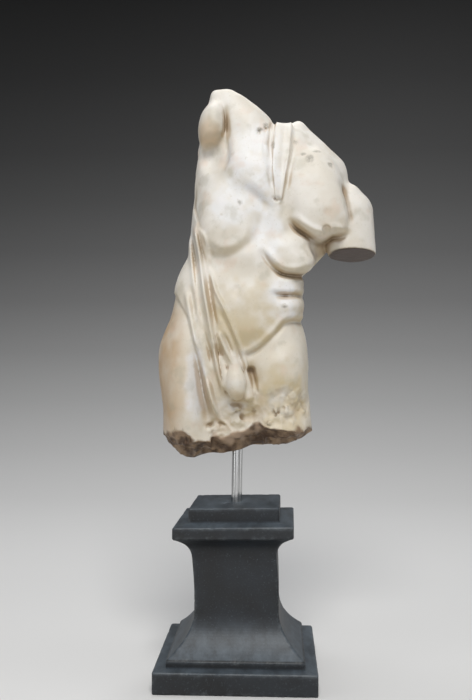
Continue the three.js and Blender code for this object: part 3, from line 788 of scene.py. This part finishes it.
def square_sweep():
    """Takes a profile, drawn as half width and height, round a square."""
    tree = bpy.data.node_groups.new("square_sweep", "GeometryNodeTree")
    face = tree.interface
    face.new_socket("Profile", in_out="INPUT", socket_type="NodeSocketGeometry")
    per_side = face.new_socket("Columns on a side", in_out="INPUT", socket_type="NodeSocketInt")
    per_side.default_value = COLUMNS
    for name, value in (
        ("Arris", ARRIS * MM),
        ("Cap twist", CAP_TWIST),
        ("Cap shift", CAP_SHIFT * MM),
        ("Cap tilt", CAP_TILT),
        ("Chip depth", 0.9 * MM),
    ):
        face.new_socket(name, in_out="INPUT", socket_type="NodeSocketFloat").default_value = value
    face.new_socket("Material", in_out="INPUT", socket_type="NodeSocketMaterial")
    face.new_socket("Plinth", in_out="OUTPUT", socket_type="NodeSocketGeometry")
    given = add(tree, "NodeGroupInput").outputs

    rows = add(tree, "GeometryNodeAttributeDomainSize", {"Geometry": given["Profile"]}, component="MESH")
    rows = rows.outputs["Point Count"]
    columns = add(tree, MATH, {0: given["Columns on a side"], 1: 4.0, 2: 1.0}, operation="MULTIPLY_ADD")
    size = {"Size X": 1.0, "Size Y": 1.0, "Vertices X": columns, "Vertices Y": rows}
    grid = add(tree, "GeometryNodeMeshGrid", size)
    index = add(tree, "GeometryNodeInputIndex")
    row = add(tree, MATH, {0: index, 1: rows}, operation="FLOORED_MODULO")
    turn = add(tree, MATH, {0: index, 1: row}, operation="SUBTRACT")
    for term in (rows, given["Columns on a side"]):
        turn = add(tree, MATH, {0: turn, 1: term}, operation="DIVIDE")
    # how far across the square the point lies, from -1 to 1
    side = []
    for ahead in (0.5, 3.5):
        wave = add(tree, MATH, {0: turn, 1: ahead}, operation="ADD")
        for operation, number in (("FLOORED_MODULO", 4.0), ("SUBTRACT", 2.0), ("ABSOLUTE", 0.0)):
            wave = add(tree, MATH, {0: wave, 1: number}, operation=operation)
        wave = add(tree, MATH, {0: 1.0, 1: wave}, operation="SUBTRACT")
        wave = add(tree, MATH, {0: wave, 1: 2.0}, operation="MULTIPLY")
        side.append(add(tree, "ShaderNodeClamp", {"Value": wave, "Min": -1.0, "Max": 1.0}))
    spot = add(tree, "GeometryNodeInputPosition")
    sample = {"Geometry": given["Profile"], "Value": spot, "Index": row}
    profile_point = add(tree, "GeometryNodeSampleIndex", sample, data_type="FLOAT_VECTOR")
    profile_xyz = add(tree, "ShaderNodeSeparateXYZ", {0: profile_point})
    half, height = profile_xyz.outputs["X"], profile_xyz.outputs["Z"]
    # the four upright arrises are eased as the others are
    across = [add(tree, MATH, {0: s}, operation="ABSOLUTE") for s in side]
    over = add(tree, MATH, {0: across[0], 1: across[1]}, operation="ADD")
    whole = add(tree, MATH, {0: half, 1: 2.0}, operation="MULTIPLY")
    steps = [("MULTIPLY", half), ("SUBTRACT", whole), ("ADD", given["Arris"])]
    steps += [("MAXIMUM", 0.0), ("MULTIPLY", 0.5)]
    for operation, term in steps:
        over = add(tree, MATH, {0: over, 1: term}, operation=operation)
    plan = []
    for s in side:
        cut = add(tree, MATH, {0: s}, operation="SIGN")
        cut = add(tree, MATH, {0: cut, 1: over}, operation="MULTIPLY")
        out = add(tree, MATH, {0: s, 1: half}, operation="MULTIPLY")
        plan.append(add(tree, MATH, {0: out, 1: cut}, operation="SUBTRACT"))
    # the cap is not quite true to the base
    rise = {"Value": height, 1: 110 * MM, 2: 170 * MM, 3: 0.0, 4: 1.0}
    up = add(tree, "ShaderNodeMapRange", rise, interpolation_type="SMOOTHSTEP")
    turned = add(tree, MATH, {0: up, 1: given["Cap twist"]}, operation="MULTIPLY")
    aside = [add(tree, MATH, {0: out, 1: turned}, operation="MULTIPLY") for out in plan]
    x = add(tree, MATH, {0: plan[0], 1: aside[1]}, operation="SUBTRACT")
    y = add(tree, MATH, {0: plan[1], 1: aside[0]}, operation="ADD")
    shift = add(tree, MATH, {0: up, 1: given["Cap shift"]}, operation="MULTIPLY")
    x = add(tree, MATH, {0: x, 1: shift}, operation="ADD")
    tilt = add(tree, MATH, {0: up, 1: given["Cap tilt"]}, operation="MULTIPLY")
    tilt = add(tree, MATH, {0: tilt, 1: x}, operation="MULTIPLY")
    z = add(tree, MATH, {0: height, 1: tilt}, operation="ADD")
    placed = add(tree, "ShaderNodeCombineXYZ", {"X": x, "Y": y, "Z": z})
    shaped = add(tree, "GeometryNodeSetPosition", {"Geometry": grid.outputs["Mesh"], "Position": placed})
    # wear: how near an arris, from the profile and from the corner of the square
    worn = add(tree, "GeometryNodeInputNamedAttribute", {"Name": "worn"}, data_type="FLOAT")
    sample = {"Geometry": given["Profile"], "Value": worn, "Index": row}
    worn = add(tree, "GeometryNodeSampleIndex", sample, data_type="FLOAT")
    reach = [add(tree, MATH, {0: out}, operation="ABSOLUTE") for out in plan]
    gap = add(tree, MATH, {0: reach[0], 1: reach[1]}, operation="SUBTRACT")
    gap = add(tree, MATH, {0: gap}, operation="ABSOLUTE")
    corner = add(tree, MATH, {0: gap, 1: 5 * MM}, operation="DIVIDE")
    corner = add(tree, MATH, {0: 1.0, 1: corner}, operation="SUBTRACT")
    corner = add(tree, "ShaderNodeClamp", {"Value": corner})
    arris = add(tree, MATH, {0: worn, 1: corner}, operation="MAXIMUM")
    marked = {"Geometry": shaped, "Name": "arris", "Value": arris}
    kept = add(tree, "GeometryNodeStoreNamedAttribute", marked, data_type="FLOAT", domain="POINT")
    joined = add(tree, "GeometryNodeMergeByDistance", {"Geometry": kept, "Distance": 0.05 * MM})
    # small chips along the arrises, and a surface that is not quite flat
    chips = add(tree, "ShaderNodeTexNoise", {"Scale": 90.0, "Detail": 2.0}, noise_dimensions="3D")
    steps = [("SUBTRACT", 0.56), ("MAXIMUM", 0.0), ("MULTIPLY", 7.0), ("MULTIPLY", given["Chip depth"])]
    for operation, term in steps:
        chips = add(tree, MATH, {0: chips, 1: term}, operation=operation)
    near = add(tree, "GeometryNodeInputNamedAttribute", {"Name": "arris"}, data_type="FLOAT")
    chips = add(tree, MATH, {0: chips, 1: near}, operation="MULTIPLY")
    waves = add(tree, "ShaderNodeTexNoise", {"Scale": 22.0, "Detail": 1.0}, noise_dimensions="3D")
    waves = add(tree, MATH, {0: waves, 1: 0.5}, operation="SUBTRACT")
    waves = add(tree, MATH, {0: waves, 1: 0.5 * MM}, operation="MULTIPLY")
    inward = add(tree, MATH, {0: waves, 1: chips}, operation="SUBTRACT")
    normal = add(tree, "GeometryNodeInputNormal")
    offset = add(tree, "ShaderNodeVectorMath", {0: normal, "Scale": inward}, operation="SCALE")
    aged = add(tree, "GeometryNodeSetPosition", {"Geometry": joined, "Offset": offset})
    real = add(tree, "GeometryNodeRealizeInstances", {"Geometry": aged})
    dressed = add(tree, "GeometryNodeSetMaterial", {"Geometry": real, "Material": given["Material"]})
    add(tree, "NodeGroupOutput", {"Plinth": dressed})
    return tree


def build_plinth(material):
    rows, worn = plinth_profile()
    me = bpy.data.meshes.new("profile")
    me.from_pydata([(h * MM, 0, z * MM) for h, z in rows], [(i, i + 1) for i in range(len(rows) - 1)], [])
    me.attributes.new("worn", "FLOAT", "POINT").data.foreach_set("value", worn)
    profile = put_in_scene("profile", me)
    sweep = profile.modifiers.new("sweep", "NODES")
    sweep.node_group = square_sweep()
    ids = {s.name: s.identifier for s in sweep.node_group.interface.items_tree if s.in_out == "INPUT"}
    sweep[ids["Columns on a side"]] = COLUMNS
    sweep[ids["Material"]] = material
    shape = applied(profile)
    profile.modifiers.remove(sweep)
    bpy.data.objects.remove(profile)
    shape.name = "stone_plinth"
    # painted light: how far each point faces up, for paler tops
    up = np.empty(3 * len(shape.vertices), np.float32)
    shape.vertex_normals.foreach_get("vector", up)
    painted_top_light = smooth((up.reshape(-1, 3)[:, 2] - 0.05) / 0.8)
    shape.attributes.new("painted_top_light", "FLOAT", "POINT").data.foreach_set("value", painted_top_light.astype(np.float32))
    return put_in_scene("stone_plinth", shape)


# ---------------------------------------------------------------- the rod


ROD_RADIUS, ROD_FOOT, ROD_HEAD = 7.0, 190.0, 330.0
ROD_LEAN, ROD_X = 0.0195, -1.5
ROD_SIDES = 72


def build_rod():
    """A turned bar with eased ends, very slightly uneven along its length."""
    rings = [(0, ROD_FOOT), (ROD_RADIUS - 0.8, ROD_FOOT), (ROD_RADIUS, ROD_FOOT + 0.8)]
    levels = np.arange(ROD_FOOT + 4, ROD_HEAD - 1, 4)
    rings += [(ROD_RADIUS + 0.03 * math.sin(0.9 * z), z) for z in levels]
    rings += [(ROD_RADIUS, ROD_HEAD - 0.8), (ROD_RADIUS - 0.8, ROD_HEAD), (0, ROD_HEAD)]
    turn = np.arange(ROD_SIDES) * 2 * math.pi / ROD_SIDES
    points, faces = [], []
    for r, z in rings[1:-1]:
        points += [(r * math.cos(a), r * math.sin(a), z) for a in turn]
    for k in range(len(rings) - 3):
        for i in range(ROD_SIDES):
            j = (i + 1) % ROD_SIDES
            low, high = k * ROD_SIDES, (k + 1) * ROD_SIDES
            faces.append((low + i, low + j, high + j, high + i))
    foot, head = len(points), len(points) + 1
    points += [(0, 0, ROD_FOOT), (0, 0, ROD_HEAD)]
    last = (len(rings) - 3) * ROD_SIDES
    for i in range(ROD_SIDES):
        j = (i + 1) % ROD_SIDES
        faces.append((foot, j, i))
        faces.append((head, last + i, last + j))
    p = np.array(points)
    middle = (ROD_FOOT + ROD_HEAD) / 2
    x = p[:, 0] * math.cos(ROD_LEAN) + (p[:, 2] - middle) * math.sin(ROD_LEAN) + ROD_X
    z = (p[:, 2] - middle) * math.cos(ROD_LEAN) - p[:, 0] * math.sin(ROD_LEAN) + middle
    return finished_mesh("steel_rod", np.stack([x, p[:, 1], z], 1), faces)


# ---------------------------------------------------------------- finishes


def colour(hex_value):
    """An sRGB hex colour as linear values."""
    parts = [int(hex_value[i : i + 2], 16) / 255 for i in (1, 3, 5)]
    linear = [v / 12.92 if v <= 0.04045 else ((v + 0.055) / 1.055) ** 2.4 for v in parts]
    return (*linear, 1.0)


def per_mm(size):
    """Scale of a pattern whose features are size millimetres apart."""
    return 1000.0 / size


def new_material(name):
    material = bpy.data.materials.new(name)
    material.use_nodes = True
    tree = material.node_tree
    tree.nodes.clear()
    return material, tree


# size in mm, detail, roughness, offset, and the noise values between which the pattern fades in
MARBLE_PATTERNS = {
    "soft": (38, 3.0, 0.5, 0.0, 0.35, 0.65),
    "warm": (26, 3.0, 0.5, 0.4, 0.1, 0.6),
    "cool": (18, 3.0, 0.5, 0.3, 0.1, 0.6),
    "tan": (30, 3.0, 0.5, 0.6, 0.0, 0.75),
    "blotch": (24, 3.0, 0.5, 0.9, 0.55, 0.7),
    "blush": (30, 3.0, 0.5, 1.4, 0.56, 0.72),
    "freckle": (3.2, 2.0, 0.6, 1.9, 0.6, 0.75),
    "mark": (5, 3.0, 0.6, 2.7, 0.2, 0.75),
    "crystal": (15, 5.0, 0.6, 2.3, 0.38, 0.66),
}


def marble():
    """Weathered white marble, carved and rubbed smooth, then buried and cleaned.

    It is warm white with cooler worn highs, tan and yellow-brown where soil has stained it, with painted
    shade in yellow-brown in its hollows, under its forms and on faces that turn down, brown on the old
    breaks, darkened there with painted shade, and a little light goes into it.
    """
    material, tree = new_material("weathered_white_marble")
    place = add(tree, "ShaderNodeTexCoord").outputs["Object"]
    pattern = {}
    for name, (size, detail, roughness, offset, low, high) in MARBLE_PATTERNS.items():
        moved = add(tree, "ShaderNodeMapping", {"Vector": place, "Location": (offset, offset, offset)})
        noise = {"Vector": moved, "Scale": per_mm(size), "Detail": detail, "Roughness": roughness}
        fade = {"Value": add(tree, "ShaderNodeTexNoise", noise), 1: low, 2: high, 3: 0.0, 4: 1.0}
        pattern[name] = add(tree, "ShaderNodeMapRange", fade, interpolation_type="SMOOTHSTEP")
    mask = {}
    for name in ("warm", "cool", "tan", "soil_and_painted_shade", "hollow", "mark", "broken", "pale_break", "cut"):
        mask[name] = add(tree, "ShaderNodeAttribute", attribute_name=name).outputs["Fac"]
    # soil and painted shade: brown in the tight creases and, wider, where the stone closes in round a point
    for name, low, high in (("soil_and_painted_shade", 0.20, 0.85), ("hollow", 0.18, 0.7)):
        fade = {"Value": mask[name], 1: low, 2: high, 3: 0.0, 4: 1.0}
        pattern[name] = add(tree, "ShaderNodeMapRange", fade, interpolation_type="SMOOTHSTEP")
    tint = {0: pattern["soft"], 6: colour("#d9d3c8"), 7: colour("#e3dfd8")}
    tint = add(tree, MIX, tint, data_type="RGBA").outputs[2]
    for where, amount, shade in (
        # warm: soil stains, and painted shade on faces that turn down
        (mask["warm"], pattern["warm"], "#c8b896"),
        (mask["cool"], pattern["cool"], "#e6e5e4"),
        # tan: patina on the thigh, and painted shade under the bulge of the raised arm
        (mask["tan"], pattern["tan"], "#c4a988"),
        (pattern["blotch"], 0.30, "#a9a38e"),
        (pattern["blush"], 0.25, "#d2b39a"),
        (pattern["freckle"], 0.25, "#b3a88f"),
        (pattern["soil_and_painted_shade"], 0.55, "#a98c63"),
        (pattern["hollow"], 0.8, "#80694a"),
        (mask["mark"], pattern["mark"], "#8f8a7e"),
    ):
        share = add(tree, MATH, {0: where, 1: amount}, operation="MULTIPLY", use_clamp=True)
        tint = add(tree, MIX, {0: share, 6: tint, 7: colour(shade)}, data_type="RGBA").outputs[2]
    # old breaks: brown, and darkened with painted shade
    broken = {0: pattern["crystal"], 6: colour("#4f3b2a"), 7: colour("#927a60")}
    broken = add(tree, MIX, broken, data_type="RGBA").outputs[2]
    # a paler middle on the lower break, and painted shade: the arm's cut drawn darker brown
    for name, shade in (("pale_break", "#b09880"), ("cut", "#43342a")):
        broken = add(tree, MIX, {0: mask[name], 6: broken, 7: colour(shade)}, data_type="RGBA").outputs[2]
    tint = add(tree, MIX, {0: mask["broken"], 6: tint, 7: broken}, data_type="RGBA").outputs[2]
    relief = []
    for size, detail, offset in ((1.3, 3.0, 3.1), (6, 5.0, 3.7)):
        moved = add(tree, "ShaderNodeMapping", {"Vector": place, "Location": (offset, offset, offset)})
        noise = {"Vector": moved, "Scale": per_mm(size), "Detail": detail, "Roughness": 0.6}
        relief.append(add(tree, "ShaderNodeTexNoise", noise))
    grain, bumps = relief
    bump = add(tree, "ShaderNodeBump", {"Height": grain, "Strength": 0.25, "Distance": 0.25 * MM})
    deep = add(tree, MATH, {0: mask["broken"], 1: bumps}, operation="MULTIPLY", use_clamp=True)
    relief = {"Height": deep, "Strength": 0.6, "Distance": 1.2 * MM, "Normal": bump}
    bump = add(tree, "ShaderNodeBump", relief)
    surface = {
        "Base Color": tint,
        "Roughness": 0.52,
        "IOR": 1.49,
        "Subsurface Weight": 0.06,
        "Subsurface Radius": (1.0, 0.72, 0.48),
        "Subsurface Scale": 3.0 * MM,
        "Normal": bump,
    }
    shader = add(tree, "ShaderNodeBsdfPrincipled", surface)
    add(tree, "ShaderNodeOutputMaterial", {"Surface": shader})
    return material


def dark_stone():
    """Honed near-black stone: fine pale flecks, scuffed paler along its arrises."""
    material, tree = new_material("honed_black_stone")
    place = add(tree, "ShaderNodeTexCoord").outputs["Object"]
    noise = {"Vector": place, "Scale": per_mm(2.2), "Detail": 4.0, "Roughness": 0.7}
    fleck = add(tree, "ShaderNodeTexNoise", noise)
    fleck = add(tree, "ShaderNodeMapRange", {"Value": fleck, 1: 0.58, 2: 0.72, 3: 0.0, 4: 0.5})
    cloud = add(tree, "ShaderNodeTexNoise", {"Vector": place, "Scale": per_mm(40), "Detail": 3.0})
    cloud = add(tree, "ShaderNodeMapRange", {"Value": cloud, 1: 0.35, 2: 0.65, 3: 0.0, 4: 1.0})
    tint = {0: cloud, 6: colour("#0d1013"), 7: colour("#191f25")}
    tint = add(tree, MIX, tint, data_type="RGBA").outputs[2]
    tint = add(tree, MIX, {0: fleck, 6: tint, 7: colour("#59626a")}, data_type="RGBA").outputs[2]
    # painted light: whatever faces up is drawn paler, in streaks
    painted_top_light = add(tree, "ShaderNodeAttribute", attribute_name="painted_top_light").outputs["Fac"]
    stretch = {"Vector": place, "Scale": (1.0, 0.35, 1.0), "Rotation": (0, 0, 0.4)}
    drawn = add(tree, "ShaderNodeMapping", stretch)
    noise = {"Vector": drawn, "Scale": per_mm(22), "Detail": 6.0, "Roughness": 0.7}
    streak = add(tree, "ShaderNodeTexNoise", noise)
    streak = add(tree, "ShaderNodeMapRange", {"Value": streak, 1: 0.3, 2: 0.7, 3: 0.15, 4: 0.9})
    painted_top_light = add(tree, MATH, {0: painted_top_light, 1: streak}, operation="MULTIPLY")
    tint = add(tree, MIX, {0: painted_top_light, 6: tint, 7: colour("#5f6a74")}, data_type="RGBA").outputs[2]
    noise = {"Vector": place, "Scale": per_mm(14), "Detail": 6.0, "Roughness": 0.75}
    scuff = add(tree, "ShaderNodeTexNoise", noise)
    scuff = add(tree, "ShaderNodeMapRange", {"Value": scuff, 1: 0.48, 2: 0.68, 3: 0.0, 4: 0.45})
    arris = add(tree, "ShaderNodeAttribute", attribute_name="arris").outputs["Fac"]
    scuff = add(tree, MATH, {0: scuff, 1: arris}, operation="MULTIPLY")
    tint = add(tree, MIX, {0: scuff, 6: tint, 7: colour("#7d8487")}, data_type="RGBA").outputs[2]
    grain = add(tree, "ShaderNodeTexNoise", {"Vector": place, "Scale": per_mm(1.5), "Detail": 3.0})
    bump = add(tree, "ShaderNodeBump", {"Height": grain, "Strength": 0.3, "Distance": 0.2 * MM})
    surface = {"Base Color": tint, "Roughness": 0.5, "IOR": 1.55, "Normal": bump}
    shader = add(tree, "ShaderNodeBsdfPrincipled", surface)
    add(tree, "ShaderNodeOutputMaterial", {"Surface": shader})
    return material


def steel():
    """Stainless bar, ground round and lightly brushed along its length."""
    material, tree = new_material("ground_stainless_steel")
    place = add(tree, "ShaderNodeTexCoord").outputs["Object"]
    drawn = add(tree, "ShaderNodeMapping", {"Vector": place, "Scale": (1.0, 1.0, 0.03)})
    lines = add(tree, "ShaderNodeTexNoise", {"Vector": drawn, "Scale": per_mm(0.8), "Detail": 3.0})
    tint = {0: lines, 6: colour("#b4b4b3"), 7: colour("#e2e2e1")}
    tint = add(tree, MIX, tint, data_type="RGBA").outputs[2]
    bump = add(tree, "ShaderNodeBump", {"Height": lines, "Strength": 0.2, "Distance": 0.05 * MM})
    surface = {"Base Color": tint, "Metallic": 1.0, "Roughness": 0.16, "Normal": bump}
    shader = add(tree, "ShaderNodeBsdfPrincipled", surface)
    add(tree, "ShaderNodeOutputMaterial", {"Surface": shader})
    return material


# ---------------------------------------------------------------- assembly

sculpture = build_torso()
sculpture.data.materials.append(marble())
plinth = build_plinth(dark_stone())
rod = build_rod()
rod.data.materials.append(steel())

for piece, node, slot in (
    (sculpture, "torso", "marble"),
    (rod, "support_rod", "polished_steel"),
    (plinth, "plinth", "dark_stone"),
):
    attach(piece, "root")
    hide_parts(node)


# ---------------------------------------------------------------- studio


# height in metres, grey of the paper there; its darkening towards the top is painted shade
BACKDROP = [
    (0.0, "#e6e6e6"), (0.07, "#cfcfcf"), (0.16, "#bcbcbc"), (0.28, "#a6a6a6"),
    (0.43, "#8d8d8d"), (0.61, "#747474"), (0.81, "#5f5f5f"), (1.03, "#4e4e4e"),
    (1.25, "#3f3f3f"), (1.6, "#2e2e2e"), (2.0, "#1c1c1c"),
]


def build_stage():
    """A pale floor that sweeps up into a backdrop, its paper painted darker towards the top as painted shade.
    """
    depth, height, bend, wide = 2.6, 4.0, 2.2, 6.0
    section = [(-4.0, 0.0), (depth - bend, 0.0)]
    for a in np.linspace(0.05, math.pi / 2, 32):
        section.append((depth - bend + bend * math.sin(a), bend - bend * math.cos(a)))
    section += [(depth, height)]
    points = [(x, y, z) for x in (-wide, wide) for y, z in section]
    n = len(section)
    faces = [(i, n + i, n + i + 1, i + 1) for i in range(n - 1)]
    me = bpy.data.meshes.new("floor_and_backdrop")
    me.from_pydata(points, [], faces)
    me.polygons.foreach_set("use_smooth", [True] * len(faces))
    ob = put_in_scene("floor_and_backdrop", me)
    material, tree = new_material("matt_backdrop_paper")
    place = add(tree, "ShaderNodeTexCoord").outputs["Object"]
    up = add(tree, "ShaderNodeSeparateXYZ", {0: place}).outputs["Z"]
    fade = add(tree, "ShaderNodeMapRange", {"Value": up, 1: 0.0, 2: BACKDROP[-1][0], 3: 0.0, 4: 1.0})
    tint = add(tree, "ShaderNodeValToRGB", {"Fac": fade})
    stops = tint.color_ramp.elements
    stops[0].color, stops[1].color = colour(BACKDROP[0][1]), colour(BACKDROP[-1][1])
    for level, shade in BACKDROP[1:-1]:
        stops.new(level / BACKDROP[-1][0]).color = colour(shade)
    shader = add(tree, "ShaderNodeBsdfPrincipled", {"Base Color": tint, "Roughness": 0.95})
    add(tree, "ShaderNodeOutputMaterial", {"Surface": shader})
    me.materials.append(material)
    return ob


# name, place, what it is aimed at, width and height, watts, colour
LAMPS = [
    ("key_light", (0.15, -1.35, 2.05), (0.02, 0, 0.5), (0.8, 0.7), 30, "#fffdf9"),
    ("fill_light", (-0.1, -2.4, 0.5), (0.02, 0, 0.4), (2.0, 1.1), 6, "#fbfbff"),
    ("backdrop_light", (0.1, 1.0, 2.3), (0.0, 1.1, 0.0), (2.4, 0.5), 20, "#ffffff"),
    ("left_strip", (-1.5, -0.9, 0.6), (0.0, 0, 0.4), (0.4, 1.6), 3, "#ffffff"),
    ("right_strip", (1.6, -0.15, 0.6), (0.0, 0, 0.4), (0.4, 1.6), 2.5, "#ffffff"),
]


def soft_light(name, place, target, size, power, tint):
    lamp = bpy.data.lights.new(name, "AREA")
    lamp.shape = "RECTANGLE"
    lamp.size, lamp.size_y = size
    lamp.energy = power
    lamp.color = colour(tint)[:3]
    ob = put_in_scene(name, lamp)
    ob.location = place
    ob.rotation_euler = (Vector(target) - Vector(place)).to_track_quat("-Z", "Y").to_euler()
    return ob


build_stage()
for lamp in LAMPS:
    soft_light(*lamp)

world = bpy.data.worlds.new("studio_air")
bpy.context.scene.world = world
world.use_nodes = True
world.node_tree.nodes["Background"].inputs["Color"].default_value = colour("#c9ccd0")
world.node_tree.nodes["Background"].inputs["Strength"].default_value = 0.35

# a normal lens, a little to the right of the work and almost level
lens = bpy.data.cameras.new("camera")
lens.lens = 45
lens.sensor_width = 36
camera = put_in_scene("camera", lens)
camera.location = (0.0510, -1.1477, 0.4015)
camera.rotation_euler = (math.pi / 2 + 0.0118, 0, 0.0470)
bpy.context.scene.camera = camera
bpy.context.scene.view_settings.view_transform = "Standard"
